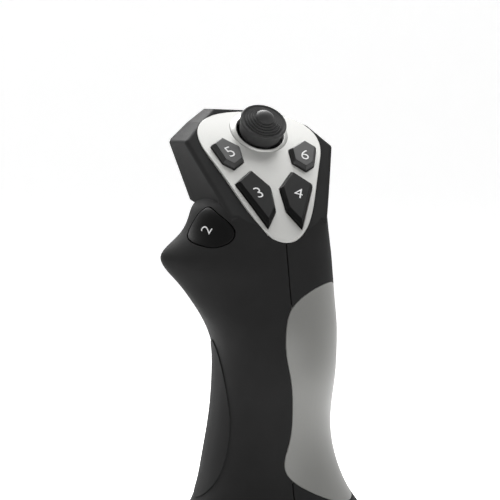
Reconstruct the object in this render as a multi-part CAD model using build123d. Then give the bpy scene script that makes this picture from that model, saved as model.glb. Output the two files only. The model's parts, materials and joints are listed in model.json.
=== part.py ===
from build123d import *
import math
import os

# Flight joystick: right-hand grip on a two-axis gimbal over a desk base.
# Frame: millimetres, +Z up, origin on the desk under the stick axis, user at -Y, +X to the right.

# ---- driving dimensions: base and gimbal -------------------------------------------------
FOOT_HEIGHT = 3.0
BASE_WIDTH = 190.0
BASE_DEPTH = 186.0
BASE_CORNER = 30.0
BASE_TAPER = 8.0
DECK_Z = 40.0
COLLAR_Z = 56.0
CONE_FOOT_R = 64.0
CONE_TOP_R = 36.0
WALL = 2.6
PLATE_T = 2.5
GIMBAL_Z = 28.0
DOME_R = 40.0
DOME_T = 2.0
DOME_RIM_Z = 41.0
TRIM_T = 1.4
SHAFT_R = 8.0
SHAFT_BORE_R = 5.0
SHAFT_TOP_Z = 122.0
SLEEVE_TOP_Z = 67.5
SCREW_SPOTS = [(62, 58), (62, -58), (-62, 58), (-62, -58)]
FOOT_SPOTS = [(76, 72), (76, -72), (-76, 72), (-76, -72)]
FRAME_SCREW_SPOTS = [(21, 18), (21, -18), (-21, 18), (-21, -18)]
BASE_BUTTON_X = 76.0
BASE_BUTTON_Y = (-30.0, -4.0, 22.0)
BASE_BUTTON_SIZE = (13.0, 18.0)
THROTTLE_Y = -76.0
THROTTLE_Z = 30.0
CORD_DIAMETER = 5.2
GLAND_Z = 20.0

# ---- driving dimensions: grip ------------------------------------------------------------
FOOT_Z = 69.0
CROWN_Z = 229.0
SHELL_T = 3.2
INSERT_T = 1.5
SEAM_HALF_GAP = 0.2
PLATE_TILT = 45.0
PLATE_ORIGIN = (0.0, 28.0, 219.4)
PLATE_SEAT = 1.7
PLATE_PEAK = 1.25
PLATE_CROWN_R = 450.0
BEZEL_T = 4.2
EDGE_RADIUS = 1.5
BEZEL_LEFT_EXTRA = 1.5
BUTTON_TOP = 3.3
BUTTON_SHOULDER = 1.9
BUTTON_BEVEL = 35.0
FLANGE_LIP = 0.8
BUTTON_GAP = 0.35
THUMB_GAP = 0.5
HAT_PIVOT = -3.6
HAT_RINGS = 5
BOARD_TOP = -8.4
TRIGGER_PIVOT = (33.0, 199.0)
TRIGGER_HALF_WIDTH = 8.6
SCREW_SITES = [(-15.0, 96.0, 12.0), (17.0, 105.0, 13.0), (13.0, 158.0, 14.0), (45.0, 216.0, 20.0)]

# Handle sections: height, reach to the left, right, rear and front of the stick axis,
# and how square the left and right sides are (2 is an ellipse).
HANDLE_SECTIONS = [
    (69.0, 33.0, 39.0, -35.0, 33.0, 2.2, 2.2),
    (74.0, 31.5, 38.5, -34.0, 32.5, 2.2, 2.2),
    (82.0, 28.0, 32.5, -30.5, 30.6, 2.2, 2.2),
    (93.0, 25.8, 26.4, -26.4, 28.0, 2.2, 2.2),
    (104.0, 24.2, 23.0, -24.8, 26.8, 2.2, 2.2),
    (116.0, 22.9, 21.9, -25.4, 26.6, 2.2, 2.2),
    (128.0, 22.5, 22.8, -26.8, 27.4, 2.2, 2.2),
    (140.0, 23.3, 23.7, -25.4, 29.0, 2.2, 2.2),
    (148.0, 26.9, 24.2, -22.6, 29.5, 2.1, 2.2),
    (155.5, 32.1, 24.2, -18.9, 29.6, 1.85, 2.2),
    (162.5, 37.8, 24.1, -16.0, 30.0, 1.7, 2.2),
    (168.5, 43.0, 24.0, -13.8, 30.5, 1.7, 2.2),
    (171.5, 43.8, 24.0, -12.6, 31.0, 1.7, 2.2),
    (175.0, 41.7, 23.7, -11.3, 31.5, 1.7, 2.3),
    (180.5, 35.6, 22.9, -9.3, 32.5, 1.85, 2.6),
    (186.5, 31.6, 22.2, -6.8, 34.0, 2.1, 3.0),
    (192.0, 28.3, 22.4, -3.0, 36.0, 2.3, 3.2),
    (197.0, 23.6, 22.6, 3.0, 38.0, 2.4, 3.2),
    (204.0, 15.0, 19.0, 12.0, 41.0, 2.4, 3.0),
]
HANDLE_TOP_Z = 200.0
SHOULDER_Z = 215.6
BROW_Z = 223.5
SECTION_POINTS = 20

# Plate-plane outlines: x to the right, y up the slope from the hat.
PLATE_OUTLINE = [(0, 12.8), (-9.5, 12.1), (-18.2, 9.6), (-24.2, 3.6), (-25.4, -4.5), (-22.2, -15.5),
                 (-17.2, -29.5), (-11, -46), (-6.5, -52.7), (0, -55.7), (6.5, -52.7), (11, -46),
                 (17, -29.5), (21.6, -15.5), (24.2, -5), (22.8, 2.7), (17, 8.8), (9.5, 11.8)]
LOWER_BUTTON = [(1.9, -30.5), (2.3, -42.0), (6.8, -50.0), (15.5, -28.5), (8.4, -21.6)]
UPPER_BUTTON = [(10.2, -9.4), (10.1, -16.5), (14.7, -20.5), (18.5, -17.6), (21.5, -8.4), (17.0, -4.4)]
BOARD_OUTLINE = [(18, -6), (16.5, -15), (12, -28), (6, -42), (-6, -42), (-12, -28), (-16.5, -15), (-18, -6)]

# Palm insert outline: across the rear right quarter, and height.
INSERT_OUTLINE = [(9, 164.3), (-6.2, 160.4), (-13.0, 155.4), (-19.4, 144.6), (-20.9, 137.0),
                  (-20.2, 127.5), (-18.6, 118), (-18.4, 104), (-20.0, 92), (-12, 84.5), (10, 83),
                  (25, 92), (27, 115), (27, 138), (22, 156)]

# Raised side panel on the left flank: forward and height, seen from the side.
FLANK_OUTLINE = [(3.5, 139.6), (-2.9, 133.0), (-8.1, 125.6), (-10.9, 118.3), (-12.6, 112.0), (-13.4, 102.0),
                 (-12.0, 90.0), (-4.0, 82.0), (10.0, 82.0), (18.0, 92.0), (19.0, 112.0), (16.0, 130.0), (10.0, 138.6)]
FLANK_LIFT = 0.4

# Thumb button: centre and outward normal on the left flank, outline in its own plane.
THUMB_CENTRE = (-26.5, 1.2, 183.3)
THUMB_NORMAL = (-0.60, -0.62, 0.50)
THUMB_OUTLINE = [(-4.4, 8.2), (-8.0, 4.4), (-9.3, 0.0), (-8.9, -3.6), (-6.2, -6.5), (-2.0, -7.8), (2.4, -8.0),
                 (6.6, -6.2), (9.2, -3.0), (9.3, -0.4), (6.6, 2.5), (0.2, 6.4), (-2.6, 8.2)]

hat_plane = Plane(
    origin=PLATE_ORIGIN,
    x_dir=(1, 0, 0),
    z_dir=(0, -math.sin(math.radians(PLATE_TILT)), math.cos(math.radians(PLATE_TILT))),
)


# ---- general helpers ---------------------------------------------------------------------
def box(x0, x1, y0, y1, z0, z1):
    return Pos((x0 + x1) / 2, (y0 + y1) / 2, (z0 + z1) / 2) * Box(x1 - x0, y1 - y0, z1 - z0)


def upright(x, y, z0, z1, radius):
    return Pos(x, y, (z0 + z1) / 2) * Cylinder(radius, z1 - z0)


def along_x(x0, x1, y, z, radius):
    return Pos((x0 + x1) / 2, y, z) * Rot(0, 90, 0) * Cylinder(radius, x1 - x0)


def along_y(x, y0, y1, z, radius):
    return Pos(x, (y0 + y1) / 2, z) * Rot(90, 0, 0) * Cylinder(radius, y1 - y0)


def tube(z0, z1, inner, outer):
    return upright(0, 0, z0, z1, outer) - upright(0, 0, z0 - 1, z1 + 1, inner)


def coil(radius, wire, pitch, length):
    path = Edge.make_helix(pitch, length, radius)
    start = Plane(origin=path @ 0, z_dir=path % 0)
    return sweep(start * Circle(wire), path=path)


def polygon(plane, points, low, high, grow=0.0):
    outline = Polyline(*points, close=True)
    face = make_face(outline)
    if grow:
        face = offset(face, grow, kind=Kind.INTERSECTION)
    return plane * Pos(0, 0, low) * extrude(face, high - low)


def mirrored(points):
    return [(-x, y) for x, y in reversed(points)]


def grown(points, amount):
    # A closed anticlockwise outline moved outward along the normal at each of its points.
    moved = []
    for index, (x, y) in enumerate(points):
        x0, y0 = points[index - 1]
        x1, y1 = points[(index + 1) % len(points)]
        length = math.hypot(x1 - x0, y1 - y0)
        moved.append((x + amount * (y1 - y0) / length, y - amount * (x1 - x0) / length))
    return moved


def smooth_face(points, grow=0.0):
    return make_face(Spline(*grown(points, grow), periodic=True))


# ---- outer form of the grip --------------------------------------------------------------
def handle_section(z, left, right, rear, front, left_power, right_power, inset):
    middle = (rear + front) / 2
    half_depth = (front - rear) / 2 - inset
    points = []
    for step in range(SECTION_POINTS):
        turn = 2 * math.pi * step / SECTION_POINTS
        c, s = math.cos(turn), math.sin(turn)
        reach = (right if c > 0 else left) - inset
        power = right_power if c > 0 else left_power
        x = reach * math.copysign(abs(c) ** (2 / power), c)
        y = middle + half_depth * math.copysign(abs(s) ** (2 / power), s)
        points.append(Vector(x, y, z))
    return Face(Wire([Edge.make_spline(points, periodic=True)]))


def handle_form(inset):
    body = loft([handle_section(*row, inset) for row in HANDLE_SECTIONS])
    body = body.split(Plane.XY.offset(HANDLE_TOP_Z - max(inset, 0)), keep=Keep.BOTTOM)
    return body.split(hat_plane.offset(-max(inset, 0)), keep=Keep.BOTTOM)


def bezel_half_width(z):
    slope_distance = (PLATE_ORIGIN[2] - z) / math.sin(math.radians(PLATE_TILT))
    return 31.3 - 0.29 * slope_distance


def head_side_outline(z, nose, inset, extra):
    rear_y = z - PLATE_ORIGIN[2] + PLATE_ORIGIN[1]
    rear_x = bezel_half_width(z) + extra
    corner_x = 31.6 - 0.172 * (213.4 - z)
    corner_y = 44.0 - 0.878 * (213.4 - z)
    extend = 6.0 / math.hypot(corner_x - rear_x, corner_y - rear_y)
    start_x = rear_x - (corner_x - rear_x) * extend
    start_y = rear_y - (corner_y - rear_y) * extend
    return [
        (start_x - inset, start_y),
        (corner_x - inset, corner_y - inset),
        (corner_x * 0.74 - inset / 2, nose - 4 - inset),
        (0, nose - inset),
    ]


def level_face(z, right_side, left_side):
    full = right_side + [(-x, y) for x, y in reversed(left_side[:-1])]
    return Face(Wire.make_polygon([Vector(x, y, z) for x, y in full], close=True))


def head_level(z, nose, inset):
    right_side = head_side_outline(z, nose, inset, 0.0)
    left_side = head_side_outline(z, nose, inset, BEZEL_LEFT_EXTRA)
    return level_face(z, right_side, left_side)


def brow_side(rear_x, front_x, inset):
    return [(rear_x - inset, 25.0), (front_x - inset, 45.4 - inset), (16.5 - inset, 50.4 - inset), (0, 53 - inset)]


def crown_side(rear_x, front_x, inset):
    return [(rear_x - inset, 30.1), (front_x - inset, 45 - inset), (6.8 - inset, 48.5 - inset), (0, 50 - inset)]


def underside_height(y):
    return 185.4 + 0.262 * (y + 4.0)


def is_soft_edge(edge):
    # The cut face's rim and the outermost corners of the side walls are rounded.
    middle = edge.center()
    on_cut_face = abs(hat_plane.to_local_coords(middle).Z) < 0.01
    return on_cut_face or abs(middle.X) > 29.5


def head_form(inset):
    low = head_level(181.0, 32.0, inset)
    shoulder = head_level(SHOULDER_Z, 57.0, inset)
    brow = level_face(BROW_Z, brow_side(20.5, 23.4, inset), brow_side(22.0, 24.4, inset))
    crown = level_face(CROWN_Z - inset, crown_side(7.0, 10.0, inset), crown_side(14.3, 17.8, inset))
    head = loft([low, shoulder], ruled=True)
    head += loft([shoulder, brow], ruled=True)
    head += loft([brow, crown], ruled=True)
    underside = Plane(origin=(0, -4.0, underside_height(-4.0) + inset), z_dir=Vector(0, -0.262, 1))
    head = head.split(underside, keep=Keep.TOP)
    depth = BEZEL_T if inset else 0.0
    head = head.split(hat_plane.offset(-depth), keep=Keep.BOTTOM)
    if inset:
        return head
    return fillet([edge for edge in head.edges() if is_soft_edge(edge)], EDGE_RADIUS)


def grip_form(inset):
    handle = handle_form(inset)
    if inset:
        handle = handle.split(hat_plane.offset(-BEZEL_T), keep=Keep.BOTTOM)
    return head_form(inset) + handle


# ---- grip: shells ------------------------------------------------------------------------
def button_outlines():
    return {
        "button_3": mirrored(LOWER_BUTTON),
        "button_4": LOWER_BUTTON,
        "button_5": mirrored(UPPER_BUTTON),
        "button_6": UPPER_BUTTON,
    }


def plate_prism(low, high, grow=0.0):
    return hat_plane * Pos(0, 0, low) * extrude(smooth_face(PLATE_OUTLINE, grow), high - low)


thumb_plane = Plane(origin=THUMB_CENTRE, x_dir=(0.7186, -0.6954, 0), z_dir=THUMB_NORMAL)


def thumb_prism(low, high, grow=0.0):
    return thumb_plane * Pos(0, 0, low) * extrude(smooth_face(THUMB_OUTLINE, grow), high - low)


insert_plane = Plane(origin=(0, 0, 0), x_dir=(0.7071, 0.7071, 0), z_dir=(0.7071, -0.7071, 0))


def insert_prism(grow=0.0):
    return insert_plane * extrude(smooth_face(INSERT_OUTLINE, grow), 60.0)


def screw_boss(site, outer):
    y, z = site[:2]
    return along_x(-45, 45, y, z, 3.4) & outer


def shaft_rib(z, cavity):
    slab = cavity & box(-60, 60, -60, 60, z, z + 3.0)
    return slab - upright(0, 0, z - 1, z + 4, SHAFT_R + 0.05)


def trigger_slot():
    return box(-9.6, 9.6, 26.0, 75.0, 158.0, 204.0)


def trigger_bracket(side, outer):
    inner_x, outer_x = sorted((side * 9.7, side * 12.2))
    return box(inner_x, outer_x, 27.0, 42.0, 191.5, 203.8) & outer


def thumb_posts():
    posts = []
    for x in (-7.2, 7.2):
        posts.append(thumb_plane * Pos(x, 0, -8.5) * Cylinder(1.5, 11.0))
    return posts


def whole_shell(outer, cavity):
    shell = outer - cavity
    for z in (84.0, 112.0):
        shell += shaft_rib(z, cavity)
    for site in SCREW_SITES:
        shell += screw_boss(site, outer)
    shell -= trigger_slot()
    shell += trigger_bracket(-1, outer)
    shell += trigger_bracket(1, outer)
    shell -= along_x(-12.5, 12.5, *TRIGGER_PIVOT, 1.55)
    shell -= plate_prism(-PLATE_SEAT, 12.0, 0.12)
    shell -= plate_prism(-BEZEL_T - 1.0, 1.0, -3.0)
    for points in button_outlines().values():
        shell -= polygon(hat_plane, points, -BEZEL_T - 1.0, 0.0, FLANGE_LIP + 0.5)
    shell -= hat_plane * Pos(0, 0, -5.0) * Cylinder(11.0, 12.0)
    shell -= insert_prism() & (handle_form(-2.0) - handle_form(INSERT_T + 0.1))
    shell -= thumb_prism(-7.5, 8.0, THUMB_GAP)
    shell -= upright(0, 0, FOOT_Z - 1, FOOT_Z + 6, 12.5)
    for y, z, seat_x in SCREW_SITES:
        shell -= along_x(-10.5, 45, y, z, 1.35)
        shell -= along_x(seat_x, 50, y, z, 2.9)
    return shell


def grip_shells():
    outer = grip_form(0.0)
    cavity = grip_form(SHELL_T).split(Plane.XY.offset(FOOT_Z + 3.4), keep=Keep.TOP)
    shell = whole_shell(outer, cavity)
    left = shell.split(Plane.YZ.offset(-SEAM_HALF_GAP), keep=Keep.BOTTOM)
    right = shell.split(Plane.YZ.offset(SEAM_HALF_GAP), keep=Keep.TOP)
    for post in thumb_posts():
        left += post & outer.split(Plane.YZ.offset(-SEAM_HALF_GAP), keep=Keep.BOTTOM)
    left -= thumb_prism(-7.5, 8.0, THUMB_GAP)
    left += flank_panel()
    return largest(left), largest(right)


def largest(shape):
    return max(shape.solids(), key=lambda solid: solid.volume)


def flank_panel():
    side_plane = Plane(origin=(0, 0, 0), x_dir=(0, -1, 0), z_dir=(-1, 0, 0))
    outline = [(-y, z) for y, z in FLANK_OUTLINE]
    prism = side_plane * Pos(0, 0, 8.0) * extrude(smooth_face(outline), 40.0)
    skin = handle_form(-FLANK_LIFT) - handle_form(1.0)
    return skin & prism


def palm_insert():
    band = handle_form(0.0) - handle_form(INSERT_T)
    return largest(band & insert_prism(-0.25))


def grip_screws():
    screws = []
    for y, z, seat_x in SCREW_SITES:
        head = along_x(seat_x, seat_x + 1.8, y, z, 2.6) - along_x(seat_x + 0.9, seat_x + 3, y, z, 1.0)
        screws.append(head + along_x(-9.5, seat_x, y, z, 1.25))
    return screws


# ---- grip: plate, hat and buttons ---------------------------------------------------------
def plate_crown(lift=0.0):
    # The plate's face is part of a very large ball, highest halfway down the plate.
    ball = Rot(90, 0, 0) * Sphere(PLATE_CROWN_R + lift)
    return hat_plane * Pos(0, -21.0, PLATE_PEAK - PLATE_CROWN_R) * ball


def top_plate():
    plate = plate_prism(-PLATE_SEAT + 0.1, 4.0) & plate_crown()
    for points in button_outlines().values():
        plate -= polygon(hat_plane, points, -3, 5, BUTTON_GAP)
    return plate - hat_plane * Cylinder(10.25, 12.0)


def hat_collar():
    # A low flared ring that rises from the plate round the cap, with a spigot down through the plate.
    inner, spigot, flare_outer, top = 9.7, 10.2, 12.3, 1.7
    flare = ThreePointArc((flare_outer, 0, 0.4), (11.0, 0, 1.0), (10.15, 0, top))
    rest = Polyline((10.15, 0, top), (inner, 0, top), (inner, 0, -1.6), (flare_outer, 0, -1.6), (flare_outer, 0, 0.4))
    ring = revolve(make_face([flare, rest]), Axis.Z)
    sleeve = Pos(0, 0, -0.6) * (Cylinder(spigot, 8.0) - Cylinder(inner - 1, 9.0))
    flange = hat_plane * (ring - sleeve) - plate_crown(0.03)
    return flange + hat_plane * (ring & sleeve)


def hat_housing():
    cup = Pos(0, 0, -6.2) * Cylinder(10.7, 8.8) - Pos(0, 0, -5.0) * Cylinder(9.9, 8.8)
    cup += Pos(0, 0, HAT_PIVOT) * (Cylinder(10.2, 2.6) - Cylinder(7.4, 4.0)) & Box(30, 4.4, 30)
    for angle in (0, 180):
        cup -= Rot(0, 0, angle) * Pos(7.6, 0, HAT_PIVOT) * Rot(0, 90, 0) * Cylinder(0.95, 3.0)
    return hat_plane * cup


def hat_ring():
    ring = Pos(0, 0, HAT_PIVOT) * (Cylinder(5.9, 2.4) - Cylinder(4.3, 4.0))
    for angle in (0, 180):
        ring += Rot(0, 0, angle) * Pos(6.9, 0, HAT_PIVOT) * Rot(0, 90, 0) * Cylinder(0.85, 2.4)
        ring -= Rot(0, 0, angle + 90) * Pos(5.0, 0, HAT_PIVOT) * Rot(0, 90, 0) * Cylinder(0.95, 4.0)
    return hat_plane * ring


def hat_stem():
    stem = Pos(0, 0, -0.6) * Cylinder(3.0, 11.0)
    for angle in (90, 270):
        stem += Rot(0, 0, angle) * Pos(4.1, 0, HAT_PIVOT) * Rot(0, 90, 0) * Cylinder(0.85, 3.0)
    return hat_plane * stem


def hat_cap():
    # Smooth centre dome, stepped grip rings, rounded rim and a skirt that runs down inside the collar.
    dome = ThreePointArc((0, 0, 11.8), (2.1, 0, 11.35), (3.6, 0, 10.2))
    steps = [(3.6, 0, 10.2)]
    radius, height = 3.6, 10.2
    for ring in range(HAT_RINGS):
        steps += [(radius + 0.08, 0, height - 0.72), (radius + 0.95, 0, height - 0.54)]
        radius, height = radius + 0.95, height - 0.54
    rim = ThreePointArc((radius, 0, height), (9.1, 0, 7.6), (9.35, 0, 6.8))
    skirt = Polyline((9.35, 0, 6.8), (9.05, 0, 5.4), (8.3, 0, 1.5), (7.6, 0, 1.5), (7.6, 0, 5.0), (0, 0, 5.0),
                     (0, 0, 11.8))
    return hat_plane * revolve(make_face([dome, Polyline(*steps), rim, skirt]), Axis.Z)


def shaped_button(points):
    body = polygon(hat_plane, points, -3.2, BUTTON_SHOULDER)
    top = make_face(Polyline(*points, close=True))
    bevel = hat_plane * Pos(0, 0, BUTTON_SHOULDER) * extrude(top, BUTTON_TOP - BUTTON_SHOULDER, taper=BUTTON_BEVEL)
    flange = polygon(hat_plane, points, -3.2, -2.1, FLANGE_LIP)
    x = sum(p[0] for p in points) / len(points)
    y = sum(p[1] for p in points) / len(points)
    stem = hat_plane * Pos(x, y, -3.9) * Cylinder(1.6, 1.6)
    return body + bevel + flange + stem, (x, y)


def grip_board():
    face = make_face(Polyline(*BOARD_OUTLINE, close=True))
    board = hat_plane * Pos(0, 0, BOARD_TOP - 1.6) * extrude(face, 1.6)
    return board - hat_plane * Pos(0, 0, BOARD_TOP) * Cylinder(11.2, 8.0)


def tact_switch(plane, x, y, base, height=1.8, side=4.6):
    body = plane * Pos(x, y, base + height / 2) * Box(side, side, height)
    return body + plane * Pos(x, y, base + height + 0.3) * Cylinder(1.2, 0.6)


def thumb_button():
    outer_skin = handle_form(-0.1)
    cap = thumb_prism(-9.0, 9.0) & (outer_skin - handle_form(4.6))
    flange = thumb_prism(-9.0, 9.0, 1.2) & (handle_form(3.8) - handle_form(4.6))
    stem = thumb_plane * Pos(0, 0, -5.4) * Cylinder(1.8, 3.0)
    return largest(largest(cap) + largest(flange) + stem)


def thumb_switch():
    board = thumb_plane * Pos(0, 0, -15.0) * Box(18.0, 8.0, 1.2)
    return board, tact_switch(thumb_plane, 0, 0, -14.4, 5.2, 6.0)


# ---- grip: trigger -----------------------------------------------------------------------
def trigger():
    y, z = TRIGGER_PIVOT
    front = Spline((44.5, 199.5), (45.5, 189.0), (42.6, 178.0), (42.2, 169.5), (45.0, 162.0))
    tip = ThreePointArc((45.0, 162.0), (43.0, 160.2), (40.0, 161.0))
    rear = Spline((40.0, 161.0), (36.2, 170.0), (35.6, 180.0), (31.0, 189.0))
    back = Line((31.0, 189.0), (28.6, 198.0))
    top = ThreePointArc((28.6, 198.0), (33.0, 203.4), (44.5, 199.5))
    face = make_face([front, tip, rear, back, top])
    side_plane = Plane(origin=(0, 0, 0), x_dir=(0, 1, 0), z_dir=(1, 0, 0))
    blade = side_plane * Pos(0, 0, -TRIGGER_HALF_WIDTH) * extrude(face, 2 * TRIGGER_HALF_WIDTH)
    blade = fillet(blade.edges().filter_by(Axis.X, reverse=True), 1.0)
    blade -= box(-3.4, 3.4, y - 8, y + 3.6, z - 4.4, z + 8)
    blade -= along_x(-12, 12, y, z, 1.6)
    return blade


def trigger_pin():
    return along_x(-12.1, 12.1, *TRIGGER_PIVOT, 1.5)


def trigger_spring():
    y, z = TRIGGER_PIVOT
    spring = Pos(-2.4, y, z) * Rot(0, 90, 0) * coil(2.4, 0.35, 1.2, 4.8)
    return spring


def trigger_switch():
    body = box(-3.2, 3.2, 19.5, 26.0, 166.0, 177.0)
    return body + box(-1.2, 1.2, 26.0, 27.2, 170.0, 172.5)


# ---- grip: shaft and loom ----------------------------------------------------------------
def twist_shaft():
    return tube(13.0, SHAFT_TOP_Z, SHAFT_BORE_R, SHAFT_R)


def shaft_clip():
    return tube(13.0, 14.8, SHAFT_R + 0.03, 11.3)


def twist_spring():
    return Pos(0, 0, 74.0) * coil(10.3, 0.7, 1.9, 7.6)


def wire_loom():
    run = FilletPolyline((0, 0, 15), (0, 0, 146), (0, 5.5, 166), radius=30)
    return sweep(Plane(origin=(0, 0, 15)) * Circle(2.4), path=run)


# ---- gimbal ------------------------------------------------------------------------------
def gimbal_frame():
    frame = tube(FOOT_HEIGHT + PLATE_T, 8.5, 19.0, 36.0)
    for side in (-1, 1):
        y0, y1 = sorted((side * 25.0, side * 30.0))
        pillar = box(-7, 7, y0, y1, 8.5, GIMBAL_Z) + along_y(0, y0, y1, GIMBAL_Z, 7.0)
        frame += pillar - along_y(0, y0 - 1, y1 + 1, GIMBAL_Z, 4.1)
    for x, y in FRAME_SCREW_SPOTS:
        frame -= upright(x, y, 4, 8.0, 1.3)
    return frame


def outer_yoke():
    frame = box(-19.5, 19.5, -22, 22, GIMBAL_Z - 5, GIMBAL_Z + 5)
    frame = fillet(frame.edges().filter_by(Axis.Z), 3.0)
    frame -= box(-15, 15, -17, 17, GIMBAL_Z - 6, GIMBAL_Z + 6)
    frame += along_y(0, 22, 34.0, GIMBAL_Z, 4.0) + along_y(0, -36.4, -22, GIMBAL_Z, 4.0)
    return frame - along_x(-21, 21, 0, GIMBAL_Z, 3.6)


def inner_block():
    block = box(-13.8, 13.8, -12.5, 12.5, GIMBAL_Z - 12, GIMBAL_Z + 10)
    block = fillet(block.edges().filter_by(Axis.Z), 2.0)
    block += upright(0, 0, GIMBAL_Z + 10, SLEEVE_TOP_Z, 11.4)
    block += upright(0, 0, 60.4, 62.9, 14.0)
    block += along_x(13.8, 25.5, 0, GIMBAL_Z, 3.5) + along_x(-27.5, -13.8, 0, GIMBAL_Z, 3.5)
    return block - upright(0, 0, 0, 90, 9.6)


def shaft_bushes():
    lower = tube(GIMBAL_Z - 12, GIMBAL_Z - 1, SHAFT_R + 0.1, 9.5)
    upper = tube(56.0, SLEEVE_TOP_Z, SHAFT_R + 0.1, 9.5)
    return [lower, upper]


def dust_dome():
    ball = Pos(0, 0, GIMBAL_Z) * (Sphere(DOME_R) - Sphere(DOME_R - DOME_T))
    cap = ball.split(Plane.XY.offset(DOME_RIM_Z), keep=Keep.TOP)
    return cap - upright(0, 0, 50, 80, 11.55)


def roll_pot():
    body = box(-5.5, 5.5, 30.0, 35.4, GIMBAL_Z - 5.5, GIMBAL_Z + 5.5)
    return body - along_y(0, 29, 36, GIMBAL_Z, 4.1)


def pitch_pot():
    body = box(19.5, 26.3, -5.5, 5.5, GIMBAL_Z - 5.5, GIMBAL_Z + 5.5)
    return body - along_x(19, 27, 0, GIMBAL_Z, 3.6)


def roll_spring():
    return Pos(0, -35.3, GIMBAL_Z) * Rot(-90, 0, 0) * coil(5.0, 0.55, 1.3, 3.9)


def pitch_spring():
    return Pos(-26.3, 0, GIMBAL_Z) * Rot(0, 90, 0) * coil(4.6, 0.55, 1.4, 5.6)


def twist_sensor():
    return tube(15.1, GIMBAL_Z - 12, SHAFT_R + 0.6, 12.2)


# ---- base --------------------------------------------------------------------------------
def deck_form(inset, low):
    height = DECK_Z - inset - low
    spread = 2 * (low - FOOT_HEIGHT) * math.tan(math.radians(BASE_TAPER))
    width = BASE_WIDTH - 2 * inset - spread
    depth = BASE_DEPTH - 2 * inset - spread
    outline = RectangleRounded(width, depth, BASE_CORNER - inset)
    return Pos(0, 0, low) * extrude(outline, height, taper=BASE_TAPER)


def cone_form(inset):
    top = COLLAR_Z - inset
    low = DECK_Z - 6.0
    spread = (CONE_FOOT_R - CONE_TOP_R) / (COLLAR_Z - DECK_Z) * (DECK_Z - low)
    cone = Cone(CONE_FOOT_R + spread - inset, CONE_TOP_R - inset, top - low)
    return Pos(0, 0, (top + low) / 2) * cone


def base_button_spots():
    return [(side * BASE_BUTTON_X, y) for side in (-1, 1) for y in BASE_BUTTON_Y]


def base_button_outline(grow=0.0):
    width, depth = BASE_BUTTON_SIZE
    return RectangleRounded(width + 2 * grow, depth + 2 * grow, 3.5 + grow)


def base_housing():
    outer = deck_form(0, FOOT_HEIGHT)
    outer = fillet(outer.edges().group_by(Axis.Z)[-1], 5.0)
    outer += cone_form(0)
    housing = outer - deck_form(WALL, FOOT_HEIGHT - 1) - cone_form(WALL)
    for x, y in SCREW_SPOTS:
        boss = upright(x, y, FOOT_HEIGHT + PLATE_T + 0.1, DECK_Z - 1, 4.5)
        housing += boss
        housing -= upright(x, y, 2, 18.0, 1.55)
    for side in (-1, 1):
        x0, x1 = sorted((side * 10.4, side * 13.0))
        ear = box(x0, x1, THROTTLE_Y - 5, THROTTLE_Y + 5, THROTTLE_Z - 5, DECK_Z - 1)
        housing += ear - along_x(x0 - 1, x1 + 1, THROTTLE_Y, THROTTLE_Z, 2.1)
    housing -= box(-7.8, 7.8, THROTTLE_Y - 6.4, THROTTLE_Y + 6.4, DECK_Z - 4, DECK_Z + 2)
    housing -= upright(0, 0, 30, 70, 31.8)
    for x, y in base_button_spots():
        housing -= Pos(x, y, 30) * extrude(base_button_outline(BUTTON_GAP), 20)
    return housing - along_y(0, 80, 100, GLAND_Z, 4.8)


def collar_trim():
    ring = tube(COLLAR_Z, COLLAR_Z + TRIM_T, 29.2, 35.6)
    return fillet(ring.edges().group_by(Axis.Z)[-1], 0.5)


def bottom_plate():
    outline = RectangleRounded(BASE_WIDTH - 2 * WALL - 1.4, BASE_DEPTH - 2 * WALL - 1.4, BASE_CORNER - WALL - 0.7)
    plate = Pos(0, 0, FOOT_HEIGHT) * extrude(outline, PLATE_T)
    for x, y in SCREW_SPOTS:
        plate -= upright(x, y, 2, 8, 1.6) + upright(x, y, 2, FOOT_HEIGHT + 1.4, 3.3)
    for x, y in FRAME_SCREW_SPOTS:
        plate -= upright(x, y, 2, 8, 1.3) + upright(x, y, 2, FOOT_HEIGHT + 1.2, 2.6)
    return plate


def rubber_feet():
    feet = []
    for x, y in FOOT_SPOTS:
        foot = upright(x, y, 0, FOOT_HEIGHT, 8.0)
        feet.append(fillet(foot.edges().group_by(Axis.Z)[0], 0.6))
    return feet


def housing_screws():
    return [upright(x, y, FOOT_HEIGHT + 0.2, FOOT_HEIGHT + 1.4, 3.0) + upright(x, y, FOOT_HEIGHT + 1.4, 17, 1.5)
            for x, y in SCREW_SPOTS]


def frame_screws():
    return [upright(x, y, FOOT_HEIGHT + 0.1, FOOT_HEIGHT + 1.2, 2.4) + upright(x, y, FOOT_HEIGHT + 1.2, 7.8, 1.2)
            for x, y in FRAME_SCREW_SPOTS]


def base_button():
    cap = Pos(0, 0, 31.6) * extrude(base_button_outline(), 42.6 - 31.6)
    cap = fillet(cap.edges().group_by(Axis.Z)[-1], 1.2)
    flange = Pos(0, 0, 34.6) * extrude(base_button_outline(1.4), 1.6)
    return cap + flange


def side_boards():
    boards = []
    for side in (-1, 1):
        board = Pos(side * BASE_BUTTON_X, -4, 24.8) * Box(16, 78, 1.6)
        for y in (-40, 32):
            board += upright(side * BASE_BUTTON_X, y, FOOT_HEIGHT + PLATE_T, 24.0, 2.5)
        boards.append(board)
    return boards


def base_board():
    board = Pos(0, 62, 10.0) * Box(70, 30, 1.6)
    chip = Pos(-8, 60, 11.6) * Box(9, 9, 1.6)
    socket = Pos(22, 66, 13.3) * Box(12, 6, 5.0)
    for x in (-31, 31):
        board += upright(x, 62, FOOT_HEIGHT + PLATE_T, 9.2, 2.5)
    return board + chip + socket


def base_switches():
    return [tact_switch(Plane.XY, x, y, 25.6, 3.4, 6.0) for x, y in base_button_spots()]


def cord_gland():
    gland = along_y(0, 84.0, 92.4, GLAND_Z, 4.6) + along_y(0, 83.0, 85.2, GLAND_Z, 7.0)
    return gland - along_y(0, 80, 95, GLAND_Z, CORD_DIAMETER / 2)


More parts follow.
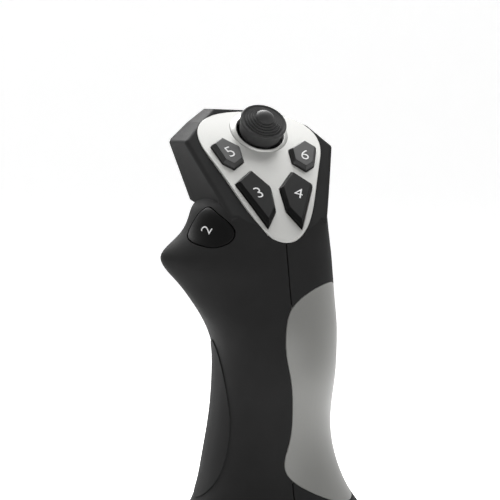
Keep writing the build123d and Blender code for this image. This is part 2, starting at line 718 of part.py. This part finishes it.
def throttle_lever():
    hub = along_x(-9.6, 9.6, THROTTLE_Y, THROTTLE_Z, 5.0)
    stem = box(-7, 7, THROTTLE_Y - 2.2, THROTTLE_Y + 2.2, THROTTLE_Z, 46.0)
    paddle = box(-15, 15, THROTTLE_Y - 4, THROTTLE_Y + 4, 43.5, 57.0)
    paddle = fillet(paddle.edges().filter_by(Axis.X), 2.6)
    paddle = fillet(paddle.edges().filter_by(Axis.X, reverse=True), 0.8)
    return hub + stem + paddle - along_x(-12, 12, THROTTLE_Y, THROTTLE_Z, 1.9)


def throttle_shaft():
    return along_x(-14.0, 18.5, THROTTLE_Y, THROTTLE_Z, 1.9)


def throttle_pot():
    body = box(13.2, 20.5, THROTTLE_Y - 6, THROTTLE_Y + 6, THROTTLE_Z - 6, THROTTLE_Z + 6)
    return body - along_x(12, 19.0, THROTTLE_Y, THROTTLE_Z, 2.1)


# ---- write the parts ---------------------------------------------------------------------
def write(name, shape):
    if isinstance(shape, (list, tuple)):
        shape = Compound(children=[solid for piece in shape for solid in piece.solids()])
    export_step(shape, f"parts/{name}.step")


def button_family():
    centres = []
    for name, points in button_outlines().items():
        shape, centre = shaped_button(points)
        centres.append(centre)
        write(name, shape)
    return [tact_switch(hat_plane, x, y, BOARD_TOP) for x, y in centres]


def main():
    os.makedirs("parts", exist_ok=True)
    left, right = grip_shells()
    write("grip_shell_left", left)
    write("grip_shell_right", right)
    write("palm_insert", palm_insert())
    write("grip_screws", grip_screws())
    write("top_plate", top_plate())
    write("hat_collar", hat_collar())
    write("hat_housing", hat_housing())
    write("hat_ring", hat_ring())
    write("hat_stem", hat_stem())
    write("hat_cap", hat_cap())
    write("grip_switches", button_family())
    write("grip_board", grip_board())
    write("thumb_button", thumb_button())
    board, switch = thumb_switch()
    write("thumb_board", board)
    write("thumb_switch", switch)
    write("trigger", trigger())
    write("trigger_pin", trigger_pin())
    write("trigger_spring", trigger_spring())
    write("trigger_switch", trigger_switch())
    write("twist_shaft", twist_shaft())
    write("shaft_clip", shaft_clip())
    write("twist_spring", twist_spring())
    write("wire_loom", wire_loom())
    write("gimbal_frame", gimbal_frame())
    write("outer_yoke", outer_yoke())
    write("inner_block", inner_block())
    write("shaft_bushes", shaft_bushes())
    write("dust_dome", dust_dome())
    write("roll_pot", roll_pot())
    write("pitch_pot", pitch_pot())
    write("roll_spring", roll_spring())
    write("pitch_spring", pitch_spring())
    write("twist_sensor", twist_sensor())
    write("base_housing", base_housing())
    write("collar_trim", collar_trim())
    write("bottom_plate", bottom_plate())
    write("rubber_feet", rubber_feet())
    write("housing_screws", housing_screws())
    write("frame_screws", frame_screws())
    write("base_board", base_board())
    write("side_boards", side_boards())
    write("base_switches", base_switches())
    write("cord_gland", cord_gland())
    for number, (x, y) in enumerate(base_button_spots(), start=7):
        write(f"base_button_{number}", Pos(x, y, 0) * base_button())
    write("throttle_lever", throttle_lever())
    write("throttle_shaft", throttle_shaft())
    write("throttle_pot", throttle_pot())


main()
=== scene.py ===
"""Looks of the desk flight joystick: materials, printed numerals, studio and camera."""
import json
import math

import bpy
import bmesh
from mathutils import Matrix, Vector
from mathutils.bvhtree import BVHTree


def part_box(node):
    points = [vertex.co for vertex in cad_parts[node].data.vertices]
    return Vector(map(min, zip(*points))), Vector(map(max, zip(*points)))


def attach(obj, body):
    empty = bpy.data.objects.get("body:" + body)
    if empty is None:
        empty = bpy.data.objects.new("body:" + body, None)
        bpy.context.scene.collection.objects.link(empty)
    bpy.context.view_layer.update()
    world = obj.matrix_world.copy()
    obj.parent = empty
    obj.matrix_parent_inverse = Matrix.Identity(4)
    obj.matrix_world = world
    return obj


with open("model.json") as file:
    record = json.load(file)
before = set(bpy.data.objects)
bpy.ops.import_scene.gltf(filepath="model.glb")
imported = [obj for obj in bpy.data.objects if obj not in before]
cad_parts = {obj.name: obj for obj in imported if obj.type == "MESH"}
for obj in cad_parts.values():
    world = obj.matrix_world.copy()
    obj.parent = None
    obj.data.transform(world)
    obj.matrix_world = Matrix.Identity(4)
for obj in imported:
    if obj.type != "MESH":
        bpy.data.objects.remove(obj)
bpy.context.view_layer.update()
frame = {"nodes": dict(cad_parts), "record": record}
NODES = frame["nodes"]

MM = 0.001
SLOPE = math.radians(45.0)
PLATE_ORIGIN = Vector((0.0, 28.0, 219.4)) * MM
BUTTON_TOP = 3.3 * MM
THUMB_CENTRE = Vector((-26.5, 1.2, 183.3)) * MM
THUMB_NORMAL = Vector((-0.60, -0.62, 0.50)).normalized()
THUMB_NUMERAL_SHIFT = (-1.5 * MM, -1.1 * MM)
THUMB_NUMERAL_TURN = 70.0

CAMERA_PLACE = Vector((-0.2872, -0.8496, 0.2222))
CAMERA_AZIMUTH = math.radians(18.0)
CAMERA_DROP = math.radians(3.0)
CAMERA_ROLL = math.radians(2.0)
CAMERA_LENS = 168.5
CAMERA_SENSOR = 36.0

EDGE_RADIUS = 0.35 * MM
EDGE_SAMPLES = 6
TONE_DRIFT_SCALE = 60.0
FLAKE_SCALE = 9000.0
LACQUER_SCALE = 2600.0
LACQUER_DEPTH = 0.012 * MM
STEEL_STREAK_SCALE = 1500.0
STEEL_STREAK_DEPTH = 0.008 * MM
RUBBER_DRIFT_SCALE = 120.0
RUBBER_SKIN_SCALE = 5200.0
RUBBER_SKIN_DEPTH = 0.01 * MM
TRACK_SCALE = 420.0
TRACK_DEPTH = 0.03 * MM
WEAVE_SCALE = 700.0
WEAVE_DEPTH = 0.08 * MM

LIGHT_TARGET = (0.0, 0.0, 0.17)
# name: place in metres, size in metres, power in watts
LIGHTS = {
    "top_softbox": ((-0.1, 0.75, 1.2), (1.2, 0.9), 26.0),
    "front_fill": ((0.1, -1.3, 0.55), (0.9, 0.8), 4.0),
    "key_softbox": ((0.14, 0.17, 0.64), (0.35, 0.3), 1.0),
    "rear_softbox": ((0.05, 0.60, 0.62), (0.4, 0.3), 4.5),
    "right_strip": ((1.1, 0.1, 0.5), (0.4, 1.2), 1.0),
}
WORLD_STRENGTH = 0.26
BACKDROP_GLOW = 0.55


# ---- node helpers ------------------------------------------------------------------------
def new_material(name):
    material = bpy.data.materials.new(name)
    material.use_nodes = True
    tree = material.node_tree
    shader = tree.nodes["Principled BSDF"]
    return material, tree, shader


def object_coordinates(tree):
    return tree.nodes.new("ShaderNodeTexCoord").outputs["Object"]


def noise(tree, scale, detail=3.0, roughness=0.5):
    node = tree.nodes.new("ShaderNodeTexNoise")
    node.inputs["Scale"].default_value = scale
    node.inputs["Detail"].default_value = detail
    node.inputs["Roughness"].default_value = roughness
    tree.links.new(object_coordinates(tree), node.inputs["Vector"])
    return node.outputs["Fac"]


def ramp(tree, value, stops):
    node = tree.nodes.new("ShaderNodeValToRGB")
    elements = node.color_ramp.elements
    while len(elements) < len(stops):
        elements.new(0.5)
    for element, (position, colour) in zip(elements, stops):
        element.position = position
        element.color = (*colour, 1.0)
    tree.links.new(value, node.inputs["Fac"])
    return node.outputs["Color"]


def spread(tree, value, low, high):
    node = tree.nodes.new("ShaderNodeMapRange")
    node.inputs["To Min"].default_value = low
    node.inputs["To Max"].default_value = high
    tree.links.new(value, node.inputs["Value"])
    return node.outputs["Result"]


def bump(tree, shader, value, depth):
    """Surface grain over edges that are softened by a small radius."""
    edge = tree.nodes.new("ShaderNodeBevel")
    edge.samples = EDGE_SAMPLES
    edge.inputs["Radius"].default_value = EDGE_RADIUS
    node = tree.nodes.new("ShaderNodeBump")
    node.inputs["Distance"].default_value = depth
    tree.links.new(edge.outputs["Normal"], node.inputs["Normal"])
    tree.links.new(value, node.inputs["Height"])
    tree.links.new(node.outputs["Normal"], shader.inputs["Normal"])


def grey(value, warm=0.0):
    """A grey whose blue is held back by the share given."""
    return (value, value, value * (1 - warm))


def moulded_plastic(name, tone, rough, grain_scale, grain_depth, warm=0.0, specular=0.5):
    """Injection-moulded plastic: spark-eroded grain, faint tone drift, slightly uneven gloss."""
    material, tree, shader = new_material(name)
    drift = noise(tree, TONE_DRIFT_SCALE, 2.0)
    colour = ramp(tree, drift, [(0.3, grey(tone * 0.93, warm)), (0.7, grey(tone * 1.07, warm))])
    tree.links.new(colour, shader.inputs["Base Color"])
    grain = noise(tree, grain_scale, 3.0, 0.6)
    tree.links.new(spread(tree, grain, rough - 0.06, rough + 0.06), shader.inputs["Roughness"])
    bump(tree, shader, grain, grain_depth)
    shader.inputs["Specular IOR Level"].default_value = specular
    return material


def silver_paint(name, tone, rough, metallic, warm):
    """Satin silver lacquer over plastic: fine metal flake and a clear coat."""
    material, tree, shader = new_material(name)
    flake = noise(tree, FLAKE_SCALE, 1.0, 0.8)
    colour = ramp(tree, flake, [(0.3, grey(tone * 0.94, warm)), (0.7, grey(tone * 1.05, warm))])
    tree.links.new(colour, shader.inputs["Base Color"])
    tree.links.new(spread(tree, flake, rough - 0.05, rough + 0.07), shader.inputs["Roughness"])
    shader.inputs["Metallic"].default_value = metallic
    shader.inputs["Coat Weight"].default_value = 0.25
    shader.inputs["Coat Roughness"].default_value = 0.35
    bump(tree, shader, noise(tree, LACQUER_SCALE, 2.0), LACQUER_DEPTH)
    return material


def brushed_steel(name, tone):
    """Drawn or turned steel: mottled streaks and a soft highlight."""
    material, tree, shader = new_material(name)
    streak = noise(tree, STEEL_STREAK_SCALE, 4.0, 0.7)
    colour = ramp(tree, streak, [(0.3, grey(tone * 0.9)), (0.7, grey(tone * 1.05))])
    tree.links.new(colour, shader.inputs["Base Color"])
    tree.links.new(spread(tree, streak, 0.22, 0.38), shader.inputs["Roughness"])
    shader.inputs["Metallic"].default_value = 1.0
    bump(tree, shader, streak, STEEL_STREAK_DEPTH)
    return material


def soft_rubber(name, tone, rough, specular=0.5):
    """Rubber with a dusty sheen and a fine moulded skin."""
    material, tree, shader = new_material(name)
    drift = noise(tree, RUBBER_DRIFT_SCALE, 3.0)
    colour = ramp(tree, drift, [(0.3, grey(tone * 0.88)), (0.7, grey(tone * 1.12))])
    tree.links.new(colour, shader.inputs["Base Color"])
    tree.links.new(spread(tree, drift, rough - 0.05, rough + 0.08), shader.inputs["Roughness"])
    shader.inputs["Specular IOR Level"].default_value = specular
    shader.inputs["Sheen Weight"].default_value = 0.06
    bump(tree, shader, noise(tree, RUBBER_SKIN_SCALE, 2.0), RUBBER_SKIN_DEPTH)
    return material


def circuit_board(name):
    """Green solder mask with darker tracks under it."""
    material, tree, shader = new_material(name)
    tracks = tree.nodes.new("ShaderNodeTexVoronoi")
    tracks.feature = "DISTANCE_TO_EDGE"
    tracks.inputs["Scale"].default_value = TRACK_SCALE
    tree.links.new(object_coordinates(tree), tracks.inputs["Vector"])
    green_mask = [(0.04, (0.035, 0.19, 0.075)), (0.10, (0.012, 0.085, 0.035))]
    colour = ramp(tree, tracks.outputs["Distance"], green_mask)
    tree.links.new(colour, shader.inputs["Base Color"])
    shader.inputs["Roughness"].default_value = 0.32
    bump(tree, shader, tracks.outputs["Distance"], TRACK_DEPTH)
    return material


def braided_sleeve(name):
    """Woven sleeve over the wire bundle."""
    material, tree, shader = new_material(name)
    weave = tree.nodes.new("ShaderNodeTexWave")
    weave.inputs["Scale"].default_value = WEAVE_SCALE
    weave.inputs["Distortion"].default_value = 1.5
    tree.links.new(object_coordinates(tree), weave.inputs["Vector"])
    colour = ramp(tree, weave.outputs["Fac"], [(0.2, grey(0.02)), (0.8, grey(0.07))])
    tree.links.new(colour, shader.inputs["Base Color"])
    shader.inputs["Roughness"].default_value = 0.7
    bump(tree, shader, weave.outputs["Fac"], WEAVE_DEPTH)
    return material


MATERIALS = {
    "black_shell": moulded_plastic("black_shell", 0.021, 0.60, 3600.0, 0.00003, 0.0, 0.04),
    "silver_paint": silver_paint("silver_paint", 0.56, 0.36, 0.20, 0.035),
    "grey_insert": silver_paint("grey_insert", 0.21, 0.45, 0.10, 0.05),
    "button_black": moulded_plastic("button_black", 0.006, 0.36, 5200.0, 0.000008, 0.0, 0.12),
    "button_grey": moulded_plastic("button_grey", 0.024, 0.36, 5200.0, 0.000008, 0.0, 0.5),
    "hat_rubber": soft_rubber("hat_rubber", 0.036, 0.55, 0.15),
    "foot_rubber": soft_rubber("foot_rubber", 0.025, 0.75),
    "dome_black": moulded_plastic("dome_black", 0.018, 0.38, 4200.0, 0.00001),
    "inner_plastic": moulded_plastic("inner_plastic", 0.055, 0.5, 2400.0, 0.00003),
    "bush_plastic": moulded_plastic("bush_plastic", 0.70, 0.4, 2400.0, 0.00001, 0.03),
    "steel": brushed_steel("steel", 0.62),
    "board": circuit_board("board"),
    "switch_body": moulded_plastic("switch_body", 0.022, 0.45, 3000.0, 0.00002),
    "gland_rubber": soft_rubber("gland_rubber", 0.022, 0.6),
    "loom_sleeve": braided_sleeve("loom_sleeve"),
    "white_ink": moulded_plastic("white_ink", 0.80, 0.5, 3000.0, 0.000003),
}


def dress_cad_nodes():
    for row in frame["record"]["subparts"]:
        node = NODES[row["node"]]
        node.data.materials.clear()
        node.data.materials.append(MATERIALS[row["material_slot"]])


# ---- printed numerals --------------------------------------------------------------------
SLOPE_UP = Vector((0.0, math.cos(SLOPE), math.sin(SLOPE)))
SLOPE_OUT = Vector((0.0, -math.sin(SLOPE), math.cos(SLOPE)))
SLOPE_RIGHT = Vector((1.0, 0.0, 0.0))
INK_THICKNESS = 0.06 * MM
INK_LIFT = 0.02 * MM
RAY_START = 6 * MM
CAP_HEIGHT_SHARE = 0.70
STROKE_THINNING = 0.012
PLATE_NUMERAL = 5.3 * MM
THUMB_NUMERAL = 4.5 * MM
BASE_NUMERAL = 5.5 * MM
# text, place across and up the plate in mm, turn in degrees
PLATE_NUMERALS = (
    ("3", -8.1, -34.4, 18.0),
    ("4", 8.2, -34.1, -18.5),
    ("5", -15.4, -13.1, 24.0),
    ("6", 15.4, -13.4, -12.0),
)


def glyph_mesh(text, height):
    curve = bpy.data.curves.new("glyph_" + text, "FONT")
    curve.body = text
    curve.size = height / CAP_HEIGHT_SHARE
    curve.align_x = "CENTER"
    curve.align_y = "CENTER"
    curve.offset = -STROKE_THINNING * height
    curve.extrude = INK_THICKNESS / 2
    curve.resolution_u = 8
    source = bpy.data.objects.new("glyph_source", curve)
    bpy.context.scene.collection.objects.link(source)
    bpy.context.view_layer.update()
    evaluated = source.evaluated_get(bpy.context.evaluated_depsgraph_get())
    mesh = bpy.data.meshes.new_from_object(evaluated)
    bpy.data.objects.remove(source)
    return mesh


def centred(mesh):
    """Moves the glyph so that its own box, not its text line, is centred on the origin."""
    xs = [vertex.co.x for vertex in mesh.vertices]
    ys = [vertex.co.y for vertex in mesh.vertices]
    mesh.transform(Matrix.Translation((-(min(xs) + max(xs)) / 2, -(min(ys) + max(ys)) / 2, 0.0)))


def lay_on_surface(mesh, place, out, node):
    """Drops every point of the glyph straight down onto the button's own face."""
    button = NODES[node].data
    corners = [vertex.co.copy() for vertex in button.vertices]
    tree = BVHTree.FromPolygons(corners, [face.vertices[:] for face in button.polygons])
    for vertex in mesh.vertices:
        above = (vertex.co - place).dot(out)
        hit = tree.ray_cast(vertex.co + out * RAY_START, -out)[0]
        if hit is not None:
            vertex.co = hit + out * (above + INK_THICKNESS / 2 + INK_LIFT)


def numeral(text, node, body, place, right, up, height, turn_degrees=0.0):
    """A generic number printed on a button: a thin glyph of ink that follows the button's face."""
    mesh = glyph_mesh(text, height)
    centred(mesh)
    out = right.cross(up)
    turn = Matrix.Rotation(math.radians(turn_degrees), 4, out)
    frame_axes = Matrix((right, up, out)).transposed().to_4x4()
    mesh.transform(Matrix.Translation(place) @ turn @ frame_axes)
    lay_on_surface(mesh, place, out, node)
    mesh.materials.clear()
    mesh.materials.append(MATERIALS["white_ink"])
    glyph = bpy.data.objects.new("numeral_" + text, mesh)
    bpy.context.scene.collection.objects.link(glyph)
    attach(glyph, body)


def on_plate(x, y):
    return PLATE_ORIGIN + SLOPE_RIGHT * (x * MM) + SLOPE_UP * (y * MM) + SLOPE_OUT * BUTTON_TOP


def add_plate_numerals():
    for text, x, y, turn in PLATE_NUMERALS:
        name = "button_" + text
        numeral(text, name, name, on_plate(x, y), SLOPE_RIGHT, SLOPE_UP, PLATE_NUMERAL, turn)


def add_thumb_numeral():
    across = Vector((0, 0, 1)).cross(THUMB_NORMAL).normalized()
    rise = THUMB_NORMAL.cross(across)
    place = THUMB_CENTRE + across * THUMB_NUMERAL_SHIFT[0] + rise * THUMB_NUMERAL_SHIFT[1]
    name = "thumb_button"
    numeral("2", name, name, place, across, rise, THUMB_NUMERAL, THUMB_NUMERAL_TURN)


def add_base_numerals():
    for number in range(7, 13):
        name = "base_button_" + str(number)
        low, high = (Vector(corner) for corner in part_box(name))
        place = Vector(((low.x + high.x) / 2, (low.y + high.y) / 2, high.z))
        numeral(str(number), name, name, place, Vector((1, 0, 0)), Vector((0, 1, 0)), BASE_NUMERAL)


# ---- studio ------------------------------------------------------------------------------
def add_backdrop():
    """Pale seamless sweep: a floor that curves up into a wall."""
    mesh = bpy.data.meshes.new("backdrop")
    build = bmesh.new()
    width, front, rear, height, radius = 6.0, -3.0, 3.0, 4.0, 1.2
    steps = 12
    profile = [(front, 0.0), (rear - radius, 0.0)]
    for step in range(1, steps + 1):
        turn = math.radians(90 * step / steps)
        profile.append((rear - radius + radius * math.sin(turn), radius - radius * math.cos(turn)))
    profile.append((rear, height))
    rows = [[build.verts.new((x, y, z)) for x in (-width, width)] for y, z in profile]
    for lower, upper in zip(rows, rows[1:]):
        build.faces.new((lower[0], lower[1], upper[1], upper[0]))
    build.to_mesh(mesh)
    build.free()
    for face in mesh.polygons:
        face.use_smooth = True
    backdrop = bpy.data.objects.new("backdrop", mesh)
    bpy.context.scene.collection.objects.link(backdrop)
    material, tree, shader = new_material("backdrop")
    shader.inputs["Base Color"].default_value = (0.92, 0.92, 0.92, 1)
    shader.inputs["Roughness"].default_value = 0.9
    shader.inputs["Emission Color"].default_value = (1.0, 1.0, 1.0, 1)
    shader.inputs["Emission Strength"].default_value = BACKDROP_GLOW
    mesh.materials.append(material)


def aim(thing, target):
    direction = Vector(target) - thing.location
    thing.rotation_euler = direction.to_track_quat("-Z", "Y").to_euler()


def area_light(name, place, target, size, power):
    data = bpy.data.lights.new(name, "AREA")
    data.shape = "RECTANGLE"
    data.size, data.size_y = size
    data.energy = power
    light = bpy.data.objects.new(name, data)
    light.location = place
    bpy.context.scene.collection.objects.link(light)
    aim(light, target)


def add_lights():
    for name, (place, size, power) in LIGHTS.items():
        area_light(name, place, LIGHT_TARGET, size, power)
    world = bpy.data.worlds.new("studio")
    world.use_nodes = True
    background = world.node_tree.nodes["Background"]
    background.inputs["Color"].default_value = (1.0, 1.0, 1.0, 1)
    background.inputs["Strength"].default_value = WORLD_STRENGTH
    bpy.context.scene.world = world


def add_camera():
    data = bpy.data.cameras.new("camera")
    data.lens = CAMERA_LENS
    data.sensor_width = CAMERA_SENSOR
    data.clip_start = 0.01
    data.clip_end = 50.0
    camera = bpy.data.objects.new("camera", data)
    forward = Vector((
        math.sin(CAMERA_AZIMUTH) * math.cos(CAMERA_DROP),
        math.cos(CAMERA_AZIMUTH) * math.cos(CAMERA_DROP),
        -math.sin(CAMERA_DROP),
    ))
    level_right = Vector((math.cos(CAMERA_AZIMUTH), -math.sin(CAMERA_AZIMUTH), 0.0))
    level_up = level_right.cross(forward)
    right = math.cos(CAMERA_ROLL) * level_right + math.sin(CAMERA_ROLL) * level_up
    up = math.cos(CAMERA_ROLL) * level_up - math.sin(CAMERA_ROLL) * level_right
    turn = Matrix((right, up, -forward)).transposed().to_4x4()
    camera.matrix_world = Matrix.Translation(CAMERA_PLACE) @ turn
    bpy.context.scene.collection.objects.link(camera)
    bpy.context.scene.camera = camera


bpy.context.scene.view_settings.view_transform = "Standard"
dress_cad_nodes()
add_plate_numerals()
add_thumb_numeral()
add_base_numerals()
add_backdrop()
add_lights()
add_camera()
